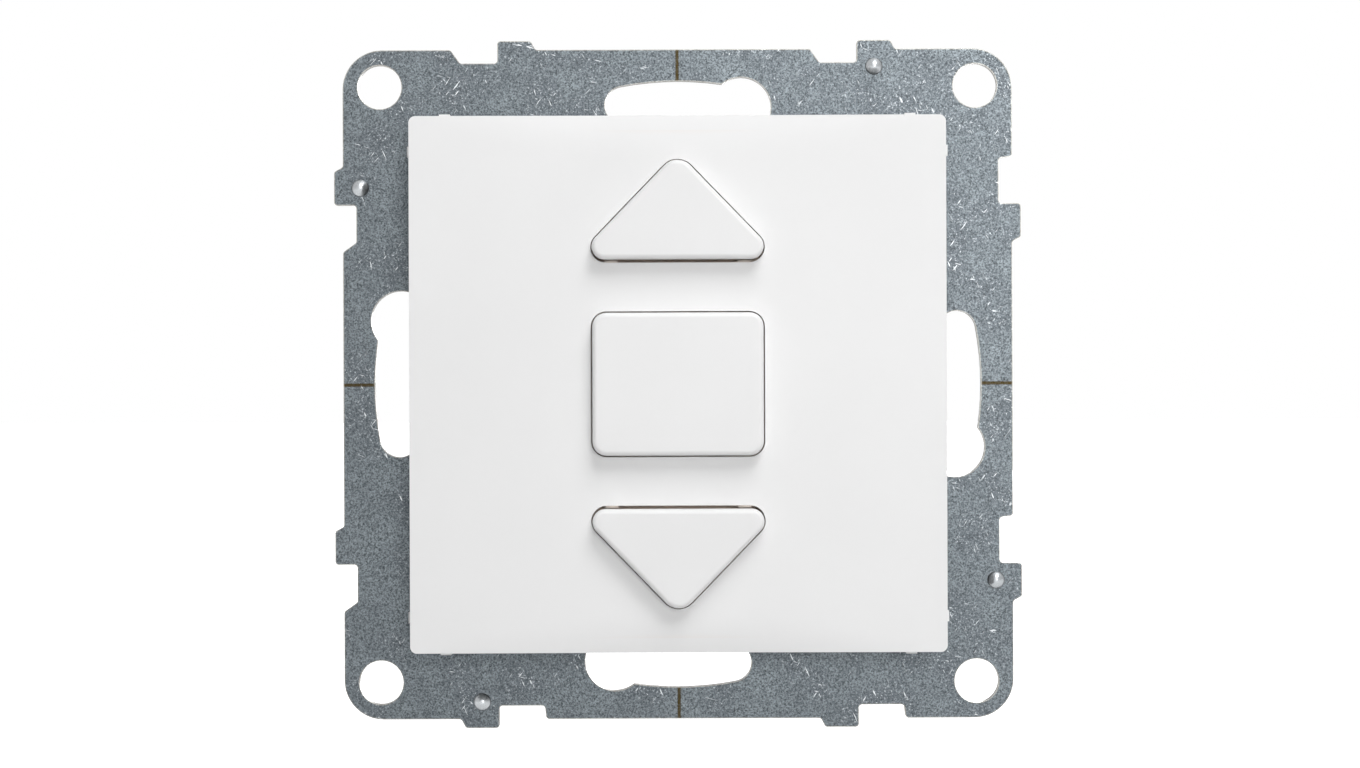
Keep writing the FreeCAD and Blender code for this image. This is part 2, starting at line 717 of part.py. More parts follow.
def build_plungers():
    """The plungers that the keys press: a block, a crossbar behind the lid, and a foot or a wedge."""
    half_width, half_thickness = size.plunger_width / 2, size.plunger_thickness / 2
    for way, turned in WAYS:
        body = new_body(f"{way}_plunger", turned)
        place = size.plunger_place
        block(body, "shank", both_ways(half_width), (plunger_front, crossbar_rear),
              (place - half_thickness, place + half_thickness))
        block(body, "crossbar", both_ways(size.crossbar_half_length), (crossbar_front, crossbar_rear),
              centred(place, size.crossbar_width))
        low, high = centred(size.blade_place, size.foot_width)
        tip = size.foot_reach - size.foot_radius
        block(body, "foot", (low, high), (crossbar_front, tip), centred(place, size.foot_radius * 2))
        foot_tip = add_feature(body, "AdditiveCylinder", "foot_tip", {
            "Radius": size.foot_radius, "Height": size.foot_width,
            "Placement.Base.x": low, "Placement.Base.y": tip, "Placement.Base.z": place})
        foot_tip.Placement.Rotation = FreeCAD.Rotation(FreeCAD.Vector(0, 1, 0), 90)
        rod(body, "spring_pin", size.spring_pin_radius, crossbar_rear,
            crossbar_rear + size.spring_pin_length, 0, place)
    body = new_body("stop_plunger")
    block(body, "shank", both_ways(half_width), (plunger_front, crossbar_rear),
          both_ways(half_thickness))
    bar_half = size.crossbar_width / 2
    block(body, "crossbar", both_ways(size.crossbar_half_length), (crossbar_front, crossbar_rear),
          both_ways(bar_half))
    tip = crossbar_rear + size.wedge_length
    face = size.latch_face_place - size.running_gap
    slope = size.latch_ratio
    wedge = [(crossbar_front, -bar_half), (tip, -bar_half),
             (tip, face - slope * (tip + size.latch_depth)),
             (crossbar_rear, face - slope * (crossbar_rear + size.latch_depth)),
             (crossbar_front, bar_half)]
    extrude(body, "wedge", "x", -size.crossbar_half_length, -size.wedge_inner, [wedge])


def build_latch():
    """The bar that the stop key's wedge shifts, and the leaf spring that shifts it back."""
    body = new_body("latch_bar")
    left = -size.latch_across - size.latch_width / 2
    right = -size.latch_across + size.latch_width / 2
    half = size.latch_half_length
    block(body, "bar", (left, right), (-size.latch_depth, latch_rear), both_ways(half))
    face = size.latch_face_place
    slope = size.latch_ratio
    lug_right = -size.wedge_inner + size.running_gap
    lug = [(-size.latch_depth, face), (latch_rear, face - slope * size.latch_thickness),
           (latch_rear, size.latch_lug_end), (-size.latch_depth, size.latch_lug_end)]
    extrude(body, "lug", "x", right - size.latch_width / 2, lug_right, [lug])
    hook_front = -size.latch_depth - size.latch_hook_thickness - size.crossbar_thickness / 2
    nose_side = size.crossbar_width / 2 + size.plunger_gap
    for name, place in (("upper", size.plunger_place), ("lower", -size.plunger_place)):
        low = place + nose_side
        level = (low, low + size.latch_hook_length)
        block(body, f"{name}_riser", (left, right), (hook_front, 0), level)
        block(body, f"{name}_hook", (left, -size.latch_hook_reach),
              (hook_front, hook_front + size.latch_hook_thickness), level)
    leaf = new_body("latch_spring")
    low = size.latch_lug_end + size.running_gap
    high = size.latch_rail_place - size.latch_rail_width / 2 - size.running_gap
    middle = (low + high) / 2
    thick = size.leaf_thickness
    front, rear = -size.latch_depth, latch_rear - size.running_gap
    fold = rear - thick * 3
    outline = [(front, low), (front, low + thick), (fold, middle), (front, high - thick),
               (front, high), (rear, middle)]
    inner = -size.wedge_inner - size.leaf_width / 2
    extrude(leaf, "leaf", "x", inner - size.leaf_width / 2, inner + size.leaf_width / 2, [outline])


def build_lid():
    """The moulded lid on the plate, with guides for the plungers and hooks that hold the housing."""
    body = new_body("housing_lid")
    extrude(body, "outside", "y", lid_front, plate_front,
            [rounded_rectangle(lid_half_width, lid_half_height, size.housing_corner_radius)])
    finish_edges(body, "Chamfer", "front_bevel", size.lid_edge_bevel,
                 lambda edge: lies_at_depth(edge, lid_front))
    inner_radius = size.housing_corner_radius - size.lid_wall
    extrude(body, "collar", "y", plate_front, size.collar_depth,
            [rounded_rectangle(collar_half_width, collar_half_height, inner_radius)])
    extrude(body, "inside", "y", lid_inside, size.collar_depth,
            [rounded_rectangle(collar_half_width - size.collar_wall, hook_inner,
                               inner_radius - size.collar_wall)], cut=True)
    gap = size.plunger_gap
    half_width, half_thickness = size.plunger_width / 2 + gap, size.plunger_thickness / 2 + gap
    for name, place in (("up", size.plunger_place), ("stop", 0), ("down", -size.plunger_place)):
        block(body, f"{name}_guide", both_ways(half_width), (lid_front, lid_inside),
              (place - half_thickness, place + half_thickness), cut=True)
    pocket_floor = lid_half_height - size.clip_barb + size.sliding_gap - size.running_gap
    for side, place in (("left", -size.clip_spacing / 2), ("right", size.clip_spacing / 2)):
        pocket = block(body, f"{side}_pocket", centred(place, size.clip_width + size.sliding_gap * 2),
                       (lid_inside + size.running_gap, plate_front),
                       (pocket_floor, lid_half_height), cut=True)
        pattern_round(body, pocket, 2)
    end = size.hook_depth
    barb_front = end - size.hook_barb_length
    outer = collar_half_height
    profile = [(size.collar_depth - size.collar_wall, hook_inner), (end, hook_inner), (end, outer),
               (barb_front, outer + size.hook_barb), (barb_front, outer),
               (size.collar_depth - size.collar_wall, outer)]
    for side, place in (("left", -size.hook_place), ("right", size.hook_place)):
        low, high = centred(place, size.hook_width)
        hook = extrude(body, f"{side}_hook", "x", low, high, [profile])
        pattern_round(body, hook, 2)


def terminal_place(turned, across, up, along, over):
    """A place in the switch, from one across and above a terminal's wire hole."""
    way = -1 if turned else 1
    return across + way * along, up + way * over


def build_housing():
    """The moulded housing, with a chamber for each terminal and posts for the springs."""
    body = new_body("housing_body")
    extrude(body, "outside", "y", 0, size.housing_depth,
            [rounded_rectangle(lid_half_width, lid_half_height, size.housing_corner_radius)])
    finish_edges(body, "Chamfer", "rear_bevel", size.housing_edge_bevel,
                 lambda edge: lies_at_depth(edge, size.housing_depth))
    extrude(body, "inside", "y", 0, housing_inside,
            [rounded_rectangle(housing_inner_width, housing_inner_height,
                               size.housing_corner_radius - size.housing_wall)], cut=True)
    wall = size.chamber_wall
    chamber_left = strip_face_across - size.strip_thickness - size.running_gap
    curl = size.clamp_pin_radius + size.clamp_curl_thickness + size.running_gap
    chamber_right = size.clamp_hinge_across + curl + size.running_gap
    chamber_half = size.chamber_inner_width / 2
    for name, place in (("up", size.plunger_place), ("down", -size.plunger_place)):
        rod(body, f"{name}_spring_post", size.spring_post_radius, size.spring_post_depth,
            housing_inside, 0, place)
    for name, place in (("upper", size.latch_rail_place), ("lower", -size.latch_rail_place)):
        level = centred(place, size.latch_rail_width)
        block(body, f"{name}_rail", (-housing_inner_width - size.housing_wall / 2, -size.wedge_inner),
              (latch_rear + size.running_gap, housing_inside), level)
    rail = centred(size.latch_rail_place, size.latch_rail_width)
    leaf_side = -size.latch_across + size.latch_width / 2 + size.sliding_gap
    block(body, "spring_stop", (leaf_side, -size.wedge_inner),
          (-size.latch_depth, latch_rear + size.latch_thickness), rail)
    for name, turned, across, up in TERMINALS:
        left, low = terminal_place(turned, across, up, chamber_left - wall, -chamber_half - wall)
        right, high = terminal_place(turned, across, up, chamber_right + wall, chamber_half + wall)
        front = line_bar_rear if name == "line" else size.chamber_depth
        x, z = sort_pair(left, right), sort_pair(low, high)
        block(body, f"{name}_chamber", x, (front, housing_inside), z)
    for name, turned, across, up in TERMINALS:
        left, low = terminal_place(turned, across, up, chamber_left, -chamber_half)
        right, high = terminal_place(turned, across, up, chamber_right, chamber_half)
        x, z = sort_pair(left, right), sort_pair(low, high)
        front = line_bar_rear if name == "line" else size.chamber_depth
        block(body, f"{name}_room", x, (front, housing_inside), z, cut=True)
        pin_across, _ = terminal_place(turned, across, up, size.clamp_hinge_across, 0)
        pin(body, f"{name}_clamp_pin", size.clamp_pin_radius, z[0] - wall / 2, z[1] + wall / 2,
            pin_across, clamp_hinge_depth)
        rod(body, f"{name}_wire_hole", size.wire_hole_diameter / 2, housing_inside, size.housing_depth,
            across, up, cut=True)
        cone(body, f"{name}_funnel", size.wire_hole_diameter / 2, size.wire_funnel_diameter / 2,
             size.housing_depth - size.wire_funnel_depth, size.housing_depth, across, up, cut=True)
        slot_across, _ = terminal_place(turned, across, up, size.pusher_across, 0)
        block(body, f"{name}_pusher_hole",
              centred(slot_across, size.pusher_thickness + size.sliding_gap),
              (housing_inside, size.housing_depth),
              centred(up, size.pusher_width + size.sliding_gap), cut=True)
    window_front = size.hook_depth - size.hook_barb_length - size.running_gap
    window_rear = size.hook_depth + size.sliding_gap
    for side, place in (("left", -size.hook_place), ("right", size.hook_place)):
        window = block(body, f"{side}_window", centred(place, size.hook_width + size.sliding_gap * 2),
                       (window_front, window_rear), (housing_inner_height, lid_half_height), cut=True)
        pattern_round(body, window, 2)
    ledge_gap = size.claw_roll_radius + size.running_gap
    front_end = size.claw_hinge_depth - ledge_gap
    rear_start = size.claw_hinge_depth + ledge_gap
    for name, low, high in (("front", front_end - size.claw_ledge_length, front_end),
                            ("rear", rear_start, rear_start + size.claw_ledge_length)):
        ledge = block(body, f"{name}_ledge",
                      (lid_half_width - size.housing_wall / 2, lid_half_width + size.claw_ledge_length),
                      (low, high), both_ways(size.claw_ledge_height / 2))
        pattern_round(body, ledge, 2)


def sort_pair(first, second):
    return (first, second) if number_of(first) < number_of(second) else (second, first)


def build_strips():
    """The brass strips: the line bar under both blades, and one strip for each way."""
    body = new_body("line_strip")
    half = size.line_bar_width / 2
    block(body, "bar", both_ways(size.line_bar_half_length), (line_bar_front, line_bar_rear),
          both_ways(half))
    leg = (strip_face_across - size.strip_thickness, strip_face_across)
    block(body, "leg", leg, (line_bar_front, size.terminal_end_depth), both_ways(size.strip_width / 2))
    for way, turned in WAYS:
        body = new_body(f"{way}_strip", turned)
        outer = size.terminal_across + size.wire_diameter / 2
        block(body, "leg", (outer, outer + size.strip_thickness),
              (contact_strip_front, size.terminal_end_depth),
              centred(size.terminal_up, size.strip_width))
        low = size.blade_place - size.blade_width / 2
        block(body, "seat", (low, outer + size.strip_thickness),
              (contact_strip_front, contact_strip_front + size.strip_thickness),
              (size.terminal_up - size.strip_width / 2, size.contact_place + size.contact_radius))
        rod(body, "contact", size.contact_radius, contact_front, contact_strip_front,
            size.blade_place, size.contact_place)


def build_blades():
    """The moving contact blades, each with a silver button at its free end."""
    for way, turned in WAYS:
        body = new_body(f"{way}_blade", turned)
        block(body, "leaf", centred(size.blade_place, size.blade_width), (size.blade_depth, blade_rear),
              (size.blade_hinge_place - size.blade_root, size.blade_end))
        rod(body, "contact", size.contact_radius, blade_rear, blade_rear + size.contact_height,
            size.blade_place, size.contact_place)
        rod(body, "rivet", size.foot_radius, size.blade_depth - size.leaf_thickness, size.blade_depth,
            size.blade_place, size.blade_hinge_place - size.foot_radius)


def build_clamps():
    """The clamp springs that hold the wires, and the pushers that open them from behind."""
    curl_inner = size.clamp_pin_radius + size.running_gap
    curl_outer = curl_inner + size.clamp_curl_thickness
    half = size.clamp_width / 2
    thick = size.clamp_curl_thickness
    lean = size.clamp_angle
    along = (-cosine(lean), -sine(lean))
    aside = (sine(lean), -cosine(lean))
    hinge = (size.clamp_hinge_across, clamp_hinge_depth)
    leaf = []
    for reach, side in ((curl_inner, -1), (curl_inner, 1),
                        (size.clamp_length, 1), (size.clamp_length, -1)):
        offset = thick / 2 * side
        leaf.append((hinge[0] + along[0] * reach + aside[0] * offset,
                     hinge[1] + along[1] * reach + aside[1] * offset))
    for name, turned, across, up in TERMINALS:
        body = new_body(f"{name}_clamp", turned, across, up)
        extrude(body, "leaf", "z", -half, half, [leaf])
        pin(body, "curl", curl_outer, -half, half, *hinge)
        pin(body, "bore", curl_inner, -half, half, *hinge, cut=True)
        body = new_body(f"{name}_pusher", turned, across, up)
        slide_half = size.pusher_width / 2
        block(body, "shaft", centred(size.pusher_across, size.pusher_thickness),
              (pusher_shoulder, size.housing_depth + size.pusher_stand), both_ways(slide_half))
        block(body, "tip", centred(size.pusher_tip_across, size.pusher_tip_thickness),
              (pusher_tip, pusher_shoulder), both_ways(slide_half))
        flange_half = slide_half + size.pusher_flange
        flange_rear = housing_inside - size.running_gap
        block(body, "flange", centred(size.pusher_across, size.pusher_thickness + size.pusher_flange),
              (flange_rear - size.strip_thickness, flange_rear), both_ways(flange_half))


def build_springs():
    """The coil springs that return the two arrow keys."""
    for name, place in (("up_spring", size.plunger_place), ("down_spring", -size.plunger_place)):
        body = new_body(name, up=place)
        start = crossbar_rear + size.running_gap
        end = size.spring_post_depth - size.running_gap
        wire = size.spring_wire
        inner = size.spring_radius - wire
        section = new_sketch(body, "wire_section", "z")
        draw_polygon(section, [(inner, start), (size.spring_radius, start),
                               (size.spring_radius, start + wire), (inner, start + wire)])
        coil = body.newObject("PartDesign::AdditiveHelix", "coil")
        coil.Profile = section
        coil.ReferenceAxis = (section, ["V_Axis"])
        coil.Mode = "height-turns-angle"
        coil.Angle = 0
        bind_all(coil, {"Height": end - start - wire, "Turns": size.spring_turns})
        body.Tip = coil


def build_claws():
    """The claws that spread in the wall box, and the screws that pull them."""
    hinge = (lid_half_width + size.claw_hinge_from_lid, size.claw_hinge_depth)
    half = size.claw_width / 2
    thick = size.claw_thickness
    arm_inner = lid_half_width + size.claw_arm_from_lid
    arm_outer = arm_inner + thick
    for side, turned in (("right", False), ("left", True)):
        body = new_body(f"{side}_claw", turned)
        pin(body, "roll", size.claw_roll_radius, -half, half, *hinge)
        flange = (hinge[1] - thick / 2, hinge[1] + thick / 2)
        block(body, "flange", (hinge[0], arm_outer), flange, both_ways(half))
        block(body, "arm", (arm_inner, arm_outer), (flange[0], size.claw_arm_end),
              both_ways(half))
        tooth = size.claw_tooth_height
        teeth = [(arm_inner, -half), (arm_outer + tooth, -half), (arm_outer, -half / 2),
                 (arm_outer + tooth, 0), (arm_outer, half / 2), (arm_outer + tooth, half),
                 (arm_inner, half)]
        extrude(body, "teeth", "y", size.claw_arm_end - thick, size.claw_arm_end, [teeth])
        width = size.claw_hole_width / 2
        slot = [(claw_screw_across + size.claw_hole_outward - width, 0, width),
                (claw_screw_across - size.claw_hole_inward + width, 0, width)]
        extrude(body, "screw_slot", "y", *flange, [slot], cut=True)
        screw = new_body(f"{side}_claw_screw", turned)
        radius = size.claw_screw_diameter / 2
        head_front = plate_front - size.claw_head_height
        head_rear = plate_front - size.running_gap / 2
        rod(screw, "head", size.claw_head_diameter / 2, head_front, head_rear, claw_screw_across)
        finish_edges(screw, "Chamfer", "head_bevel", size.claw_head_bevel,
                     lambda edge: lies_at_depth(edge, head_front))
        rod(screw, "shank", radius, head_rear, size.claw_screw_length, claw_screw_across)
        slot_half = size.driver_slot_width / 2
        reach = size.claw_head_diameter / 2
        for name, x_half, z_half in (("slot", reach, slot_half), ("cross", slot_half, reach / 2)):
            block(screw, name, (claw_screw_across - x_half, claw_screw_across + x_half),
                  (head_front, head_front + size.driver_slot_depth), both_ways(z_half), cut=True)


def check_all():
    """Stops on any failed feature, and on any piece that isn't one sound solid."""
    for item in doc.Objects:
        if "Invalid" in item.State or "Error" in item.State:
            raise RuntimeError(f"{item.Label} failed: {item.State}")
    for body in bodies:
        shape = body.Shape
        if shape.isNull() or not shape.isValid() or len(shape.Solids) != 1:
            raise RuntimeError(f"{body.Label} isn't one sound solid")


build_mounting_plate()
build_cover()
build_keys()
build_plungers()
build_latch()
build_lid()
build_housing()
build_strips()
build_blades()
build_clamps()
build_springs()
build_claws()
doc.recompute()
check_all()
os.makedirs("parts", exist_ok=True)
for body in bodies:
    body.Shape.exportStep(f"parts/{body.Label}.step")
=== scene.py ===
import math

import bpy
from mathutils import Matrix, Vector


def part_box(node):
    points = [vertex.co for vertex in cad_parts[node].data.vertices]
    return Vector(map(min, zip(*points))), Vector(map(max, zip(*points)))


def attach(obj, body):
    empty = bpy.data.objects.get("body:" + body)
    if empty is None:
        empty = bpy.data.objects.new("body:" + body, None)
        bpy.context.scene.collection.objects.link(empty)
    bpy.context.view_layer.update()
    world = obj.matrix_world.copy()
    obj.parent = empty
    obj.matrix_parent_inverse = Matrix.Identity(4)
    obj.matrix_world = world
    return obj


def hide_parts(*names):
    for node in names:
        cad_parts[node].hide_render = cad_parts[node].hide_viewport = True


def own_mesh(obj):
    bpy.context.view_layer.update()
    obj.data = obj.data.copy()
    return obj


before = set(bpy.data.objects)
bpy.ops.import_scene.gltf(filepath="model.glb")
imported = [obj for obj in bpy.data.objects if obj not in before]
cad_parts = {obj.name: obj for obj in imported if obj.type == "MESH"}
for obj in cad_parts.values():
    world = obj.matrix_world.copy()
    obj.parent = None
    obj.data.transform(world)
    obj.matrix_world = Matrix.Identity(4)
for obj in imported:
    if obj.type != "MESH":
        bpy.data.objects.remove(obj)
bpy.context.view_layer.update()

# The studio. The switch stands upright on a pale floor, in front of white. A near soft box above and
# to the right leaves a short shadow under and beside each key, and a smaller one brightens the steel
# on the right. Weak light from the front fills the shadows, and a lamp behind lights the back.
floor_reach = 3.0


def linear(code):
    """The linear colour of an sRGB hex code, with full alpha."""
    colour = []
    for start in (1, 3, 5):
        share = int(code[start : start + 2], 16) / 255
        colour.append(share / 12.92 if share <= 0.04045 else ((share + 0.055) / 1.055) ** 2.4)
    return colour + [1.0]


def add_node(tree, kind, inputs=None, out=0, **settings):
    """Adds a node with its settings, and its inputs as values or links. Returns one of its outputs."""
    node = tree.nodes.new(kind)
    for name, value in settings.items():
        setattr(node, name, value)
    for name, value in (inputs or {}).items():
        if isinstance(value, bpy.types.NodeSocket):
            tree.links.new(value, node.inputs[name])
        else:
            node.inputs[name].default_value = value
    return node.outputs[out] if node.outputs else None


def seen_directly(tree):
    """1 for rays from the camera and for those that gloss or glass sends on, and 0 for light."""
    rays = add_node(tree, "ShaderNodeLightPath").node.outputs
    shown = rays["Is Camera Ray"]
    for kind in ("Is Glossy Ray", "Is Transmission Ray"):
        shown = add_node(tree, "ShaderNodeMath", {0: shown, 1: rays[kind]}, operation="MAXIMUM")
    return shown


white = linear("#ffffff")
world = bpy.data.worlds.new("studio_air")
bpy.context.scene.world = world
world.use_nodes = True
air = world.node_tree
air.nodes.clear()
soft_fill = add_node(air, "ShaderNodeBackground", {"Color": white, "Strength": 0.14})
white_air = add_node(air, "ShaderNodeBackground", {"Color": white, "Strength": 1.0})
shown_air = add_node(air, "ShaderNodeMixShader", {0: seen_directly(air), 1: soft_fill, 2: white_air})
add_node(air, "ShaderNodeOutputWorld", {"Surface": shown_air})

floor_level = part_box("mounting_plate")[0].z
square = ((-1, -1), (1, -1), (1, 1), (-1, 1))
corners = [(across * floor_reach, deep * floor_reach, floor_level) for across, deep in square]
floor_mesh = bpy.data.meshes.new("floor")
floor_mesh.from_pydata(corners, [], [(0, 1, 2, 3)])
floor = bpy.data.objects.new("floor", floor_mesh)
bpy.context.scene.collection.objects.link(floor)
white_paper = bpy.data.materials.new("white_paper")
white_paper.use_nodes = True
tree = white_paper.node_tree
tree.nodes.clear()
paper = add_node(tree, "ShaderNodeBsdfPrincipled", {"Base Color": linear("#c8c8c8"), "Roughness": 0.9})
glow = add_node(tree, "ShaderNodeEmission", {"Color": white, "Strength": 1.0})
lit_paper = add_node(tree, "ShaderNodeAddShader", {0: paper, 1: glow})
shown_paper = add_node(tree, "ShaderNodeMixShader", {0: seen_directly(tree), 1: paper, 2: lit_paper})
add_node(tree, "ShaderNodeOutputMaterial", {"Surface": shown_paper})
floor_mesh.materials.append(white_paper)

for name, place, width, watts in (
    ("top_softbox", (0.14, -0.34, 0.47), 0.34, 2.45),
    ("right_softbox", (0.20, -0.96, 0.15), 0.28, 2.0),
    ("front_fill", (-0.10, -1.00, 0.35), 0.50, 0.65),
    ("rear_fill", (0.30, 1.00, 0.15), 0.50, 8.0),
):
    lamp = bpy.data.lights.new(name, "AREA")
    lamp.shape = "SQUARE"
    lamp.size = width
    lamp.energy = watts
    light = bpy.data.objects.new(name, lamp)
    light.visible_camera = False
    bpy.context.scene.collection.objects.link(light)
    light.location = place
    light.rotation_euler = (-light.location).to_track_quat("-Z", "Y").to_euler()

# The camera stands square to the plate, where one millimetre of it fills 9.57 of the image's 1360
# pixels. The switch lies a fifth of a millimetre left of its middle and leans by a fifth of a degree.
image_width = 1360
camera_distance = 0.371
camera_right = 0.0002
pixels_per_metre = 9571.0
lean = math.radians(0.2)

lens = bpy.data.cameras.new("camera")
lens.sensor_width = 36.0
lens.lens = lens.sensor_width * camera_distance * pixels_per_metre / image_width
lens.clip_start = 0.01
camera = bpy.data.objects.new("camera", lens)
bpy.context.scene.collection.objects.link(camera)
camera.location = (camera_right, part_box("mounting_plate")[0].y - camera_distance, 0.0)
camera.rotation_euler = (math.pi / 2, lean, 0.0)
bpy.context.scene.camera = camera
bpy.context.scene.view_settings.view_transform = "Standard"

# The rear housing: a deep box with the terminal chambers, moulded in glass-filled nylon. The glass
# fibres lie near the skin as short pale flecks, and the spark-eroded mould leaves it dull. Both are
# drawn coarser than the real ones, so that they show.
mm_per_metre = 1000
fleck_mm = 0.5
nylon_grain_mm = 0.14
nylon_relief = 0.00001


def new_material(name):
    """An empty material, its tree, and the place on the piece that its patterns follow."""
    material = bpy.data.materials.new(name)
    material.use_nodes = True
    tree = material.node_tree
    tree.nodes.clear()
    return material, tree, add_node(tree, "ShaderNodeTexCoord", out=3)


def filled_nylon(name, dark, pale):
    """Nylon with glass fibre: two near shades and a dull skin."""
    material, tree, place = new_material(name)
    drawn_out = add_node(tree, "ShaderNodeMapping", {"Vector": place, "Scale": (1.0, 0.35, 1.0)})
    flecks = add_node(
        tree,
        "ShaderNodeTexNoise",
        {"Vector": drawn_out, "Scale": mm_per_metre / fleck_mm, "Detail": 3.0, "Distortion": 0.4},
    )
    grain = add_node(
        tree,
        "ShaderNodeTexNoise",
        {"Vector": place, "Scale": mm_per_metre / nylon_grain_mm, "Detail": 2.0},
    )
    shown = add_node(tree, "ShaderNodeMapRange", {0: flecks, 1: 0.48, 2: 0.70})
    colour = add_node(
        tree, "ShaderNodeMix", {0: shown, 6: linear(dark), 7: linear(pale)}, out=2, data_type="RGBA"
    )
    dull = add_node(tree, "ShaderNodeMapRange", {0: grain, 1: 0.3, 2: 0.7, 3: 0.52, 4: 0.66})
    relief = add_node(tree, "ShaderNodeBump", {"Height": grain, "Distance": nylon_relief})
    skin = add_node(
        tree,
        "ShaderNodeBsdfPrincipled",
        {"Base Color": colour, "Roughness": dull, "IOR": 1.53, "Normal": relief},
    )
    add_node(tree, "ShaderNodeOutputMaterial", {"Surface": skin})
    return material


def give_finish(material, *names):
    """Gives the solids with these names their material."""
    for name in names:
        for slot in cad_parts[name].material_slots:
            slot.material = material


give_finish(filled_nylon("grey_filled_nylon", "#3f4346", "#50555a"), "housing_body")

# The conductor strips: stamped from brass sheet and laid in the housing. Rolling leaves fine lines
# along the sheet, drawn coarser here so that they show, and handling leaves a few darker stains.
rolling_mm = 0.12
stain_mm = 3.0
rolling_relief = 0.000004


def rolled_metal(name, dark, pale, shiny, dull):
    """Bare or plated sheet: two near shades, and a sheen between two roughnesses."""
    material, tree, place = new_material(name)
    along = add_node(tree, "ShaderNodeMapping", {"Vector": place, "Scale": (1.0, 0.06, 1.0)})
    lines = add_node(
        tree, "ShaderNodeTexNoise", {"Vector": along, "Scale": mm_per_metre / rolling_mm, "Detail": 3.0}
    )
    stains = add_node(
        tree, "ShaderNodeTexNoise", {"Vector": place, "Scale": mm_per_metre / stain_mm, "Detail": 3.0}
    )
    mixed = add_node(tree, "ShaderNodeMath", {0: lines, 1: stains}, operation="ADD")
    shown = add_node(tree, "ShaderNodeMapRange", {0: mixed, 1: 0.7, 2: 1.3})
    colour = add_node(
        tree, "ShaderNodeMix", {0: shown, 6: linear(dark), 7: linear(pale)}, out=2, data_type="RGBA"
    )
    shine = add_node(tree, "ShaderNodeMapRange", {0: lines, 1: 0.3, 2: 0.7, 3: shiny, 4: dull})
    relief = add_node(tree, "ShaderNodeBump", {"Height": lines, "Distance": rolling_relief})
    metal = add_node(
        tree,
        "ShaderNodeBsdfPrincipled",
        {"Base Color": colour, "Metallic": 1.0, "Roughness": shine, "Normal": relief},
    )
    add_node(tree, "ShaderNodeOutputMaterial", {"Surface": metal})
    return material


stamped_brass = rolled_metal("stamped_brass", "#b3914a", "#cdae68", 0.26, 0.38)
give_finish(stamped_brass, "line_strip", "up_strip", "down_strip")

# The contact blades: thin spring bronze with a contact rivet at the tip, held in the housing at one
# end. The plungers bend them on to the strips. They have the sheen of the brass but a redder colour.
rolled_bronze = rolled_metal("rolled_bronze", "#a87c52", "#c0946a", 0.24, 0.36)
give_finish(rolled_bronze, "up_blade", "down_blade")

# The push-in clamps: bent from stainless spring steel, one behind each wire hole. A wire is pushed
# past the tongue, whose edge then bites and keeps it. The rolled skin is bright and nearly white.
bright_spring_steel = rolled_metal("bright_spring_steel", "#a3a6a9", "#babdc0", 0.24, 0.36)
give_finish(bright_spring_steel, "line_clamp", "up_clamp", "down_clamp")

# The release pushers: small polyester slides, orange so that an electrician finds them. Their face
# has the even sheen of a polished mould.
pusher_patch_mm = 0.8
pusher_grain_mm = 0.2
grain_relief = 0.000004


def unfilled_plastic(name, dark, pale, patch_mm, grain_mm, shiny, dull, ior):
    """Plain plastic: patches of two near shades, and a fine grain between two roughnesses."""
    material, tree, place = new_material(name)
    patches = add_node(
        tree, "ShaderNodeTexNoise", {"Vector": place, "Scale": mm_per_metre / patch_mm, "Detail": 1.0}
    )
    grain = add_node(
        tree, "ShaderNodeTexNoise", {"Vector": place, "Scale": mm_per_metre / grain_mm, "Detail": 2.0}
    )
    shown = add_node(tree, "ShaderNodeMapRange", {0: patches, 1: 0.3, 2: 0.7})
    colour = add_node(
        tree, "ShaderNodeMix", {0: shown, 6: linear(dark), 7: linear(pale)}, out=2, data_type="RGBA"
    )
    shine = add_node(tree, "ShaderNodeMapRange", {0: grain, 1: 0.3, 2: 0.7, 3: shiny, 4: dull})
    relief = add_node(tree, "ShaderNodeBump", {"Height": grain, "Distance": grain_relief})
    skin = add_node(
        tree,
        "ShaderNodeBsdfPrincipled",
        {"Base Color": colour, "Roughness": shine, "IOR": ior, "Normal": relief},
    )
    add_node(tree, "ShaderNodeOutputMaterial", {"Surface": skin})
    return material


orange_polyester = unfilled_plastic(
    "orange_polyester", "#e2701c", "#ea7c28", pusher_patch_mm, pusher_grain_mm, 0.36, 0.48, 1.57
)
give_finish(orange_polyester, "line_pusher", "up_pusher", "down_pusher")

# The latch bar: black acetal, a waxy plastic that slides without grease and has a soft shine. It lies
# along the housing, and its hooks reach for the crossbars of the arrow keys.
latch_patch_mm = 1.0
acetal_grain_mm = 0.25
black_acetal = unfilled_plastic(
    "black_acetal", "#1d1d1f", "#27272a", latch_patch_mm, acetal_grain_mm, 0.34, 0.46, 1.48
)
give_finish(black_acetal, "latch_bar")

# The latch spring: a strip of spring steel bent to a soft V, which pushes the latch bar back. It is
# one ribbon that follows a curve from its lower foot over the bend to its upper foot.
leaf_thickness = 0.00025
leaf_steps = 32
sharp_from = math.radians(35)


def new_maker(name, sockets):
    """A node tree that makes geometry, and its inputs by name."""
    tree = bpy.data.node_groups.new(name, "GeometryNodeTree")
    tree.interface.new_socket("Geometry", in_out="OUTPUT", socket_type="NodeSocketGeometry")
    for label, kind in sockets.items():
        tree.interface.new_socket(label, in_out="INPUT", socket_type="NodeSocket" + kind)
    return tree, add_node(tree, "NodeGroupInput").node.outputs


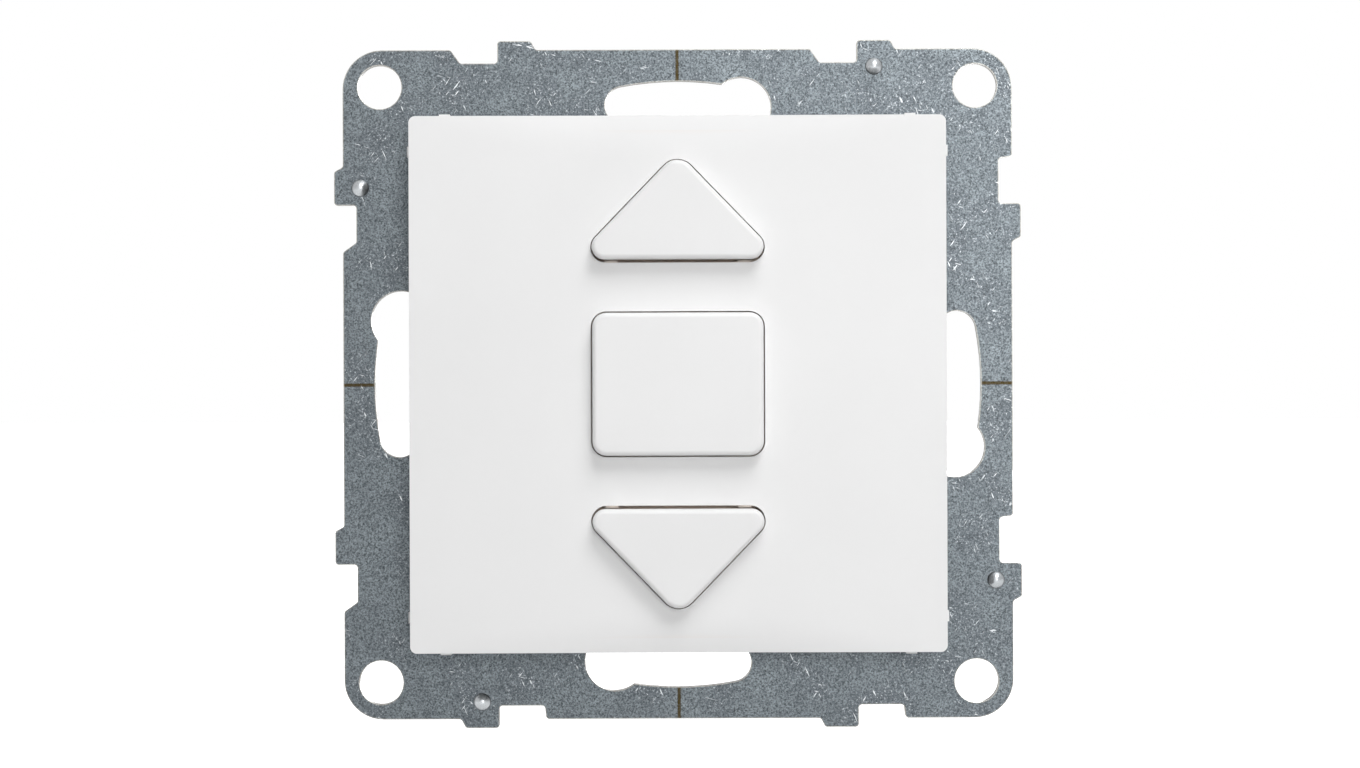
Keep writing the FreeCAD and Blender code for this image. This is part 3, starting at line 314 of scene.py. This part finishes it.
def end_maker(tree, geometry, material):
    """Ends a maker with real geometry, smooth faces between sharp edges, and the piece's material."""
    real = add_node(tree, "GeometryNodeRealizeInstances", {"Geometry": geometry})
    smooth = add_node(tree, "GeometryNodeSetShadeSmooth", {"Geometry": real})
    bend = add_node(tree, "GeometryNodeInputMeshEdgeAngle")
    sharp = add_node(tree, "ShaderNodeMath", {0: bend, 1: sharp_from}, operation="GREATER_THAN")
    crisp = add_node(
        tree,
        "GeometryNodeSetShadeSmooth",
        {"Geometry": smooth, "Selection": sharp, "Shade Smooth": False},
        domain="EDGE",
    )
    shaded = add_node(tree, "GeometryNodeSetMaterial", {"Geometry": crisp, "Material": material})
    add_node(tree, "NodeGroupOutput", {0: shaded})


def make_piece(name, tree, values):
    """Runs a maker with these values, and keeps what it makes as the piece's own mesh."""
    piece = bpy.data.objects.new(name, bpy.data.meshes.new(name))
    bpy.context.scene.collection.objects.link(piece)
    maker = piece.modifiers.new("maker", "NODES")
    maker.node_group = tree
    for socket in tree.interface.items_tree:
        if socket.in_out == "INPUT":
            maker[socket.identifier] = values[socket.name]
    made = piece.evaluated_get(bpy.context.evaluated_depsgraph_get())
    mesh = bpy.data.meshes.new_from_object(made)
    piece.modifiers.clear()
    piece.data = mesh
    return piece


leaf_maker, given = new_maker(
    "leaf_spring",
    {
        "Lower Foot": "Vector",
        "Bend": "Vector",
        "Upper Foot": "Vector",
        "Width": "Float",
        "Thickness": "Float",
        "Steel": "Material",
    },
)
bent_line = add_node(
    leaf_maker,
    "GeometryNodeCurveQuadraticBezier",
    {
        "Resolution": leaf_steps,
        "Start": given["Lower Foot"],
        "Middle": given["Bend"],
        "End": given["Upper Foot"],
    },
)
strip = add_node(
    leaf_maker,
    "GeometryNodeCurvePrimitiveQuadrilateral",
    {"Width": given["Thickness"], "Height": given["Width"]},
)
leaf = add_node(
    leaf_maker, "GeometryNodeCurveToMesh", {"Curve": bent_line, "Profile Curve": strip, "Fill Caps": True}
)
end_maker(leaf_maker, leaf, given["Steel"])

low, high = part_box("latch_spring")
middle = (low + high) / 2
foot_depth = low.y + leaf_thickness / 2
bend_depth = 2 * (high.y - leaf_thickness / 2) - foot_depth
latch_leaf = make_piece(
    "latch_leaf_spring",
    leaf_maker,
    {
        "Lower Foot": (middle.x, foot_depth, low.z + leaf_thickness / 2),
        "Bend": (middle.x, bend_depth, middle.z),
        "Upper Foot": (middle.x, foot_depth, high.z - leaf_thickness / 2),
        "Width": high.x - low.x,
        "Thickness": leaf_thickness,
        "Steel": bright_spring_steel,
    },
)
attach(latch_leaf, "base")
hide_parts("latch_spring")
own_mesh(latch_leaf)

# The plungers: acetal in its natural milky colour. Each carries one key cap, slides in the lid, and
# has a crossbar behind the lid that works a blade or the latch.
plunger_patch_mm = 6.0
natural_acetal = unfilled_plastic(
    "natural_acetal", "#dedbcf", "#e9e7dd", plunger_patch_mm, acetal_grain_mm, 0.30, 0.42, 1.48
)
give_finish(natural_acetal, "up_plunger", "stop_plunger", "down_plunger")

# The return springs under the arrow keys: round spring wire wound on a mandrel. The last turn at each
# end is closed down to lie flat, so that the spring stands square under its plunger.
coil_wire = 0.0004
coil_turns = 5.5
steps_per_turn = 28
wire_sides = 12
wires_in_closed_ends = 3.0

coil_maker, given = new_maker(
    "coil_spring",
    {
        "Foot": "Vector",
        "Radius": "Float",
        "Wire": "Float",
        "Length": "Float",
        "Turns": "Float",
        "Steel": "Material",
    },
)
half_wire = add_node(coil_maker, "ShaderNodeMath", {0: given["Wire"], 1: 0.5}, operation="MULTIPLY")
mean_radius = add_node(
    coil_maker, "ShaderNodeMath", {0: given["Radius"], 1: half_wire}, operation="SUBTRACT"
)
helix = add_node(
    coil_maker,
    "GeometryNodeCurveSpiral",
    {
        "Resolution": steps_per_turn,
        "Rotations": given["Turns"],
        "Start Radius": mean_radius,
        "End Radius": mean_radius,
        "Height": given["Length"],
    },
)
way_along = add_node(coil_maker, "GeometryNodeSplineParameter")
first_turn = add_node(coil_maker, "ShaderNodeMath", {0: 1.0, 1: given["Turns"]}, operation="DIVIDE")
last_turn = add_node(coil_maker, "ShaderNodeMath", {0: 1.0, 1: first_turn}, operation="SUBTRACT")
closed_ends = add_node(
    coil_maker, "ShaderNodeMath", {0: given["Wire"], 1: wires_in_closed_ends}, operation="MULTIPLY"
)
open_length = add_node(
    coil_maker, "ShaderNodeMath", {0: given["Length"], 1: closed_ends}, operation="SUBTRACT"
)
rise = half_wire
for start, end, gain in (
    (0.0, first_turn, given["Wire"]),
    (first_turn, last_turn, open_length),
    (last_turn, 1.0, given["Wire"]),
):
    share = add_node(
        coil_maker, "ShaderNodeMapRange", {0: way_along, 1: start, 2: end, 3: 0.0, 4: gain}
    )
    rise = add_node(coil_maker, "ShaderNodeMath", {0: rise, 1: share}, operation="ADD")
point = add_node(coil_maker, "GeometryNodeInputPosition")
flat = add_node(coil_maker, "ShaderNodeSeparateXYZ", {0: point}).node.outputs
raised = add_node(coil_maker, "ShaderNodeCombineXYZ", {0: flat[0], 1: flat[1], 2: rise})
wound = add_node(coil_maker, "GeometryNodeSetPosition", {"Geometry": helix, "Position": raised})
wire_section = add_node(
    coil_maker, "GeometryNodeCurvePrimitiveCircle", {"Resolution": wire_sides, "Radius": half_wire}
)
coil = add_node(
    coil_maker,
    "GeometryNodeCurveToMesh",
    {"Curve": wound, "Profile Curve": wire_section, "Fill Caps": True},
)
laid = add_node(
    coil_maker,
    "GeometryNodeTransform",
    {"Geometry": coil, "Translation": given["Foot"], "Rotation": (-math.pi / 2, 0.0, 0.0)},
)
end_maker(coil_maker, laid, given["Steel"])

for way in ("up", "down"):
    low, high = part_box(f"{way}_spring")
    middle = (low + high) / 2
    length = high.y - low.y
    spring = make_piece(
        f"{way}_return_spring",
        coil_maker,
        {
            "Foot": (middle.x, low.y, middle.z),
            "Radius": (high.x - low.x) / 2,
            "Wire": coil_wire,
            "Length": length,
            "Turns": coil_turns,
            "Steel": bright_spring_steel,
        },
    )
    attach(spring, "base")
    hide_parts(f"{way}_spring")
    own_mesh(spring)

# The lid: the front half of the insert, in a paler grade of the same nylon. It is hooked into the
# housing from the front and clamps the plate between them.
give_finish(filled_nylon("pale_filled_nylon", "#8c877d", "#a09b91"), "housing_lid")

# The mounting plate: steel sheet, galvanised, punched and pressed, and clamped between the lid and the
# housing. A laser has burnt a thin brown mark across its front face in the middle of each side.
mark_inner_mm = 31.7
mark_outer_mm = 35.2
mark_half_mm = 0.175
mark_fade_mm = 0.05

# The zinc is a dense pepper of dark and bright crystals, drawn coarser than the real ones, so that
# they show. It has soft clouds, bright scuffs from handling with painted glints of crystal among
# them, pale rims that are partly wear and partly a painted highlight where the edges catch the light,
# and bare steel where the punch cut it.
crystal_mm = 0.19
crystal_relief = 0.000012
cloud_mm = 3.5
scuff_mm = 0.22
scuff_length = 0.15
scuffs = ((0.4, 0.72), (1.3, 0.74), (2.5, 0.73))
rim_mm = 0.25
rim_samples = 6

galvanised_steel, tree, place = new_material("galvanised_steel")
crystals = add_node(
    tree,
    "ShaderNodeTexNoise",
    {"Vector": place, "Scale": mm_per_metre / crystal_mm, "Detail": 3.0, "Roughness": 0.8},
)
clouds = add_node(
    tree, "ShaderNodeTexNoise", {"Vector": place, "Scale": mm_per_metre / cloud_mm, "Detail": 3.0}
)
sparkle = add_node(tree, "ShaderNodeMapRange", {0: crystals, 1: 0.36, 2: 0.64})
zinc = add_node(
    tree,
    "ShaderNodeMix",
    {0: sparkle, 6: linear("#35393c"), 7: linear("#747b7f")},
    out=2,
    data_type="RGBA",
)
shade = add_node(tree, "ShaderNodeMapRange", {0: clouds, 1: 0.35, 2: 0.65, 3: 0.0, 4: 0.40})
zinc = add_node(
    tree, "ShaderNodeMix", {0: shade, 6: zinc, 7: linear("#43474c")}, out=2, data_type="RGBA"
)
scuffed = add_node(tree, "ShaderNodeMapRange", {0: clouds, 1: 0.50, 2: 0.60})
scratches_and_glints = 0.0
for turn, threshold in scuffs:
    turned = add_node(tree, "ShaderNodeMapping", {"Vector": place, "Rotation": (0.0, turn, 0.0)})
    drawn_out = add_node(
        tree, "ShaderNodeMapping", {"Vector": turned, "Scale": (1.0, 1.0, scuff_length)}
    )
    streaks = add_node(
        tree, "ShaderNodeTexNoise", {"Vector": drawn_out, "Scale": mm_per_metre / scuff_mm, "Detail": 1.0}
    )
    shown = add_node(tree, "ShaderNodeMapRange", {0: streaks, 1: threshold, 2: threshold + 0.05})
    scratches_and_glints = add_node(tree, "ShaderNodeMath", {0: scratches_and_glints, 1: shown}, operation="MAXIMUM")
# Painted glints: where the crystal noise is highest inside the scuffed patches, the colour is drawn pale,
# as light caught on the crystals.
glints = add_node(tree, "ShaderNodeMapRange", {0: crystals, 1: 0.62, 2: 0.70})
scratches_and_glints = add_node(tree, "ShaderNodeMath", {0: scratches_and_glints, 1: glints}, operation="MAXIMUM")
scratches_and_glints = add_node(tree, "ShaderNodeMath", {0: scratches_and_glints, 1: scuffed}, operation="MULTIPLY")
zinc = add_node(
    tree, "ShaderNodeMix", {0: scratches_and_glints, 6: zinc, 7: linear("#b9bcbe")}, out=2, data_type="RGBA"
)
axes = add_node(tree, "ShaderNodeSeparateXYZ", {0: place}).node.outputs
sides = []
for axis in ("X", "Z"):
    away = add_node(tree, "ShaderNodeMath", {0: axes[axis]}, operation="ABSOLUTE")
    sides.append(add_node(tree, "ShaderNodeMath", {0: away, 1: mm_per_metre}, operation="MULTIPLY"))
beside = add_node(tree, "ShaderNodeMath", {0: sides[0], 1: sides[1]}, operation="MINIMUM")
along = add_node(tree, "ShaderNodeMath", {0: sides[0], 1: sides[1]}, operation="MAXIMUM")
true_side = add_node(tree, "ShaderNodeNewGeometry", out=3)
facing = add_node(tree, "ShaderNodeSeparateXYZ", {0: true_side}).node.outputs["Y"]
front = add_node(tree, "ShaderNodeMath", {0: facing, 1: -0.5}, operation="LESS_THAN")
burnt = add_node(tree, "ShaderNodeMapRange", {0: crystals, 1: 0.3, 2: 0.6, 3: 1.0, 4: 0.85})
burnt = add_node(tree, "ShaderNodeMath", {0: burnt, 1: front}, operation="MULTIPLY")
for distance, nothing, full in (
    (beside, mark_half_mm + mark_fade_mm, mark_half_mm - mark_fade_mm),
    (along, mark_inner_mm, mark_inner_mm + mark_fade_mm),
    (along, mark_outer_mm, mark_outer_mm - mark_fade_mm),
):
    inside = add_node(tree, "ShaderNodeMapRange", {0: distance, 1: nothing, 2: full})
    burnt = add_node(tree, "ShaderNodeMath", {0: burnt, 1: inside}, operation="MULTIPLY")
zinc = add_node(
    tree, "ShaderNodeMix", {0: burnt, 6: zinc, 7: linear("#352b13")}, out=2, data_type="RGBA"
)
flatness = add_node(tree, "ShaderNodeMath", {0: facing}, operation="ABSOLUTE")
cut = add_node(tree, "ShaderNodeMapRange", {0: flatness, 1: 0.5, 2: 0.3})
zinc = add_node(tree, "ShaderNodeMix", {0: cut, 6: zinc, 7: linear("#5c5954")}, out=2, data_type="RGBA")
# Painted highlight, partly wear: within a quarter millimetre of each edge the colour is drawn paler, as
# the rounded edges catch the light.
rounded = add_node(tree, "ShaderNodeBevel", {"Radius": rim_mm / mm_per_metre}, samples=rim_samples)
alike = add_node(
    tree, "ShaderNodeVectorMath", {0: true_side, 1: rounded}, out=1, operation="DOT_PRODUCT"
)
rim_wear_and_highlight = add_node(tree, "ShaderNodeMapRange", {0: alike, 1: 0.98, 2: 0.84, 3: 0.0, 4: 0.45})
zinc = add_node(tree, "ShaderNodeMix", {0: rim_wear_and_highlight, 6: zinc, 7: linear("#c9c3b6")}, out=2, data_type="RGBA")
dull = add_node(tree, "ShaderNodeMapRange", {0: crystals, 1: 0.3, 2: 0.7, 3: 0.42, 4: 0.30})
relief = add_node(tree, "ShaderNodeBump", {"Height": crystals, "Distance": crystal_relief})
sheet = add_node(
    tree,
    "ShaderNodeBsdfPrincipled",
    {"Base Color": zinc, "Metallic": 1.0, "Roughness": dull, "Normal": relief},
)
add_node(tree, "ShaderNodeOutputMaterial", {"Surface": sheet})
give_finish(galvanised_steel, "mounting_plate")

# The four centring domes: pressed up from behind with a round punch, so the zinc on them is stretched
# smooth and shines. Their zinc is also drawn much paler than the plate's, a painted highlight for the
# light the domes catch. One dome is drawn with its flared foot and set round the plate.
dome_radius = 0.00072
dome_height = 0.00062
dome_flare = 0.00020
dome_root = 0.00006
dome_across, dome_up = 0.0206, 0.0332
dome_count = 4
dome_segments, dome_rings = 32, 24
flare_power = 8.0
plate_thickness = 0.0012

dome_maker, given = new_maker(
    "centring_domes",
    {
        "Radius": "Float",
        "Height": "Float",
        "Flare": "Float",
        "Root": "Float",
        "Circle": "Float",
        "Turn": "Vector",
        "Face": "Vector",
        "Metal": "Material",
    },
)
ball = add_node(
    dome_maker,
    "GeometryNodeMeshUVSphere",
    {"Segments": dome_segments, "Rings": dome_rings, "Radius": 1.0},
)
point = add_node(dome_maker, "GeometryNodeInputPosition")
point_on = add_node(dome_maker, "ShaderNodeSeparateXYZ", {0: point}).node.outputs
flat_point = add_node(
    dome_maker, "ShaderNodeVectorMath", {0: point, 1: (1.0, 1.0, 0.0)}, operation="MULTIPLY"
)
out = add_node(dome_maker, "ShaderNodeVectorMath", {0: flat_point}, out=1, operation="LENGTH")
foot = add_node(dome_maker, "ShaderNodeMath", {0: out, 1: flare_power}, operation="POWER")
flared = add_node(
    dome_maker,
    "ShaderNodeMath",
    {0: foot, 1: given["Flare"], 2: given["Radius"]},
    operation="MULTIPLY_ADD",
)
wide_point = add_node(dome_maker, "ShaderNodeVectorMath", {0: flat_point, 3: flared}, operation="SCALE")
above = add_node(dome_maker, "ShaderNodeMath", {0: point_on["Z"], 1: 0.0}, operation="GREATER_THAN")
tall = add_node(dome_maker, "ShaderNodeMapRange", {0: above, 3: given["Root"], 4: given["Height"]})
rise = add_node(dome_maker, "ShaderNodeMath", {0: point_on["Z"], 1: tall}, operation="MULTIPLY")
lift = add_node(dome_maker, "ShaderNodeCombineXYZ", {2: rise})
dome_point = add_node(dome_maker, "ShaderNodeVectorMath", {0: wide_point, 1: lift}, operation="ADD")
dome = add_node(dome_maker, "GeometryNodeSetPosition", {"Geometry": ball, "Position": dome_point})
ring = add_node(
    dome_maker, "GeometryNodeMeshCircle", {"Vertices": dome_count, "Radius": given["Circle"]}
)
turned_ring = add_node(
    dome_maker, "GeometryNodeTransform", {"Geometry": ring, "Rotation": given["Turn"]}
)
set_round = add_node(
    dome_maker, "GeometryNodeInstanceOnPoints", {"Points": turned_ring, "Instance": dome}
)
on_face = add_node(
    dome_maker,
    "GeometryNodeTransform",
    {"Geometry": set_round, "Translation": given["Face"], "Rotation": (math.pi / 2, 0.0, 0.0)},
)
end_maker(dome_maker, on_face, given["Metal"])

# Painted highlight: the domes' zinc is drawn much paler than the plate's, as though lit.
stretched_zinc_with_painted_light = rolled_metal("stretched_zinc_with_painted_light", "#a0a4a7", "#bcbfc1", 0.26, 0.36)
domes = make_piece(
    "centring_domes",
    dome_maker,
    {
        "Radius": dome_radius,
        "Height": dome_height,
        "Flare": dome_flare,
        "Root": dome_root,
        "Circle": math.hypot(dome_across, dome_up),
        "Turn": (0.0, 0.0, math.atan2(dome_up, dome_across)),
        "Face": (0.0, -plate_thickness, 0.0),
        "Metal": stretched_zinc_with_painted_light,
    },
)
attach(domes, "base")

# The spreading claws and their screws: zinc-plated steel with an even, pale sheen. Each screw pulls
# its claw forwards, and the claw swings out against the wall of the box. The thread is rolled, so it
# stands in a ridge round a thinner core.
thread_pitch = 0.0005
thread_depth = 0.00023
steps_per_thread = 24
ridge_corners = 4
blank_gap = 0.00001

zinc_plate = rolled_metal("zinc_plated_steel", "#a9aeb1", "#c2c6c8", 0.30, 0.44)
give_finish(zinc_plate, "right_claw", "left_claw")

screw_maker, given = new_maker(
    "threaded_screw",
    {
        "Blank": "Object",
        "Axis": "Vector",
        "Shank": "Float",
        "Neck": "Float",
        "Length": "Float",
        "Pitch": "Float",
        "Depth": "Float",
        "Steel": "Material",
    },
)
blank = add_node(screw_maker, "GeometryNodeObjectInfo", {"Object": given["Blank"]}, out=4)
whole = add_node(screw_maker, "GeometryNodeMergeByDistance", {"Geometry": blank, "Distance": blank_gap})
core = add_node(
    screw_maker, "ShaderNodeMath", {0: given["Shank"], 1: given["Depth"]}, operation="SUBTRACT"
)
point = add_node(screw_maker, "GeometryNodeInputPosition")
from_axis = add_node(
    screw_maker, "ShaderNodeVectorMath", {0: point, 1: given["Axis"]}, operation="SUBTRACT"
)
outwards = add_node(
    screw_maker, "ShaderNodeVectorMath", {0: from_axis, 1: (1.0, 0.0, 1.0)}, operation="MULTIPLY"
)
radius = add_node(screw_maker, "ShaderNodeVectorMath", {0: outwards}, out=1, operation="LENGTH")
shank_edge = add_node(screw_maker, "ShaderNodeMath", {0: given["Shank"], 1: blank_gap}, operation="ADD")
slim = add_node(screw_maker, "ShaderNodeMath", {0: radius, 1: shank_edge}, operation="LESS_THAN")
deep = add_node(screw_maker, "ShaderNodeSeparateXYZ", {0: point}).node.outputs["Y"]
neck_edge = add_node(
    screw_maker, "ShaderNodeMath", {0: given["Neck"], 1: blank_gap}, operation="SUBTRACT"
)
behind = add_node(screw_maker, "ShaderNodeMath", {0: deep, 1: neck_edge}, operation="GREATER_THAN")
on_shank = add_node(screw_maker, "ShaderNodeMath", {0: slim, 1: behind}, operation="MULTIPLY")
inwards = add_node(
    screw_maker, "ShaderNodeMath", {0: given["Depth"], 1: given["Shank"]}, operation="DIVIDE"
)
less = add_node(screw_maker, "ShaderNodeMath", {0: inwards, 1: -1.0}, operation="MULTIPLY")
drawn_in = add_node(screw_maker, "ShaderNodeVectorMath", {0: outwards, 3: less}, operation="SCALE")
turned_down = add_node(
    screw_maker,
    "GeometryNodeSetPosition",
    {"Geometry": whole, "Selection": on_shank, "Offset": drawn_in},
)
turns = add_node(
    screw_maker, "ShaderNodeMath", {0: given["Length"], 1: given["Pitch"]}, operation="DIVIDE"
)
helix = add_node(
    screw_maker,
    "GeometryNodeCurveSpiral",
    {
        "Resolution": steps_per_thread,
        "Rotations": turns,
        "Start Radius": core,
        "End Radius": core,
        "Height": given["Length"],
    },
)
level = add_node(screw_maker, "GeometryNodeSetCurveNormal", {"Curve": helix}, mode="Z_UP")
ridge = add_node(
    screw_maker,
    "GeometryNodeCurvePrimitiveCircle",
    {"Resolution": ridge_corners, "Radius": given["Depth"]},
)
thread = add_node(
    screw_maker, "GeometryNodeCurveToMesh", {"Curve": level, "Profile Curve": ridge, "Fill Caps": True}
)
neck = add_node(screw_maker, "ShaderNodeCombineXYZ", {"Y": given["Neck"]})
start = add_node(screw_maker, "ShaderNodeVectorMath", {0: given["Axis"], 1: neck}, operation="ADD")
laid_thread = add_node(
    screw_maker,
    "GeometryNodeTransform",
    {"Geometry": thread, "Translation": start, "Rotation": (-math.pi / 2, 0.0, 0.0)},
)
screw = add_node(screw_maker, "GeometryNodeJoinGeometry", {0: turned_down})
screw_maker.links.new(laid_thread, screw.node.inputs[0])
end_maker(screw_maker, screw, given["Steel"])

for side in ("right", "left"):
    node = f"{side}_claw_screw"
    low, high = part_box(node)
    axis = ((low.x + high.x) / 2, 0.0, (low.z + high.z) / 2)
    points = [point.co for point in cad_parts[node].data.vertices]
    rings = [(math.hypot(point.x - axis[0], point.z - axis[2]), point.y) for point in points]
    shank = max(radius for radius, depth in rings if depth > high.y - blank_gap)
    neck = min(depth for radius, depth in rings if abs(radius - shank) < blank_gap)
    threaded = make_piece(
        f"{side}_threaded_claw_screw",
        screw_maker,
        {
            "Blank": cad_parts[node],
            "Axis": axis,
            "Shank": shank,
            "Neck": neck,
            "Length": high.y - neck,
            "Pitch": thread_pitch,
            "Depth": thread_depth,
            "Steel": zinc_plate,
        },
    )
    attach(threaded, f"{side}_screw")
    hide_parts(node)

# The cover and the three keys: ABS, moulded in white and left satin, with a fine grain that is drawn
# coarser than the real one, so that it shows. The walls let a little light through. In the gaps round
# the keys the light has met several walls, so the plastic there is drawn warmer.
cover_grain_mm = 0.09
flow_mm = 18.0
skirt_mm = 26.0
gap_shade_from, gap_shade_full = 0.0001, 0.0005
light_reach = 0.0008

satin_white_abs, tree, place = new_material("satin_white_abs")
grain = add_node(
    tree, "ShaderNodeTexNoise", {"Vector": place, "Scale": mm_per_metre / cover_grain_mm, "Detail": 2.0}
)
flow = add_node(
    tree, "ShaderNodeTexNoise", {"Vector": place, "Scale": mm_per_metre / flow_mm, "Detail": 1.0}
)
shown = add_node(tree, "ShaderNodeMapRange", {0: flow, 1: 0.3, 2: 0.7})
colour = add_node(
    tree,
    "ShaderNodeMix",
    {0: shown, 6: linear("#ebebeb"), 7: linear("#eeeeee")},
    out=2,
    data_type="RGBA",
)
axes = add_node(tree, "ShaderNodeSeparateXYZ", {0: place}).node.outputs
across = add_node(tree, "ShaderNodeMath", {0: axes["X"]}, operation="ABSOLUTE")
upward = add_node(tree, "ShaderNodeMath", {0: axes["Z"]}, operation="ABSOLUTE")
outward = add_node(tree, "ShaderNodeMath", {0: across, 1: upward}, operation="MAXIMUM")
within = add_node(tree, "ShaderNodeMath", {0: outward, 1: skirt_mm / mm_per_metre}, operation="LESS_THAN")
cover_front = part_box("cover_plate")[0].y
sunk = add_node(
    tree,
    "ShaderNodeMapRange",
    {0: axes["Y"], 1: cover_front + gap_shade_from, 2: cover_front + gap_shade_full, 4: within},
)
colour = add_node(
    tree, "ShaderNodeMix", {0: sunk, 6: colour, 7: linear("#e9dacd")}, out=2, data_type="RGBA"
)
shine = add_node(tree, "ShaderNodeMapRange", {0: grain, 1: 0.3, 2: 0.7, 3: 0.40, 4: 0.52})
relief = add_node(tree, "ShaderNodeBump", {"Height": grain, "Distance": grain_relief})
skin = add_node(
    tree,
    "ShaderNodeBsdfPrincipled",
    {
        "Base Color": colour,
        "Roughness": shine,
        "IOR": 1.53,
        "Normal": relief,
        "Subsurface Weight": 0.15,
        "Subsurface Radius": (1.0, 1.0, 1.0),
        "Subsurface Scale": light_reach,
    },
)
add_node(tree, "ShaderNodeOutputMaterial", {"Surface": skin})
give_finish(satin_white_abs, "cover_plate", "up_button", "stop_button", "down_button")
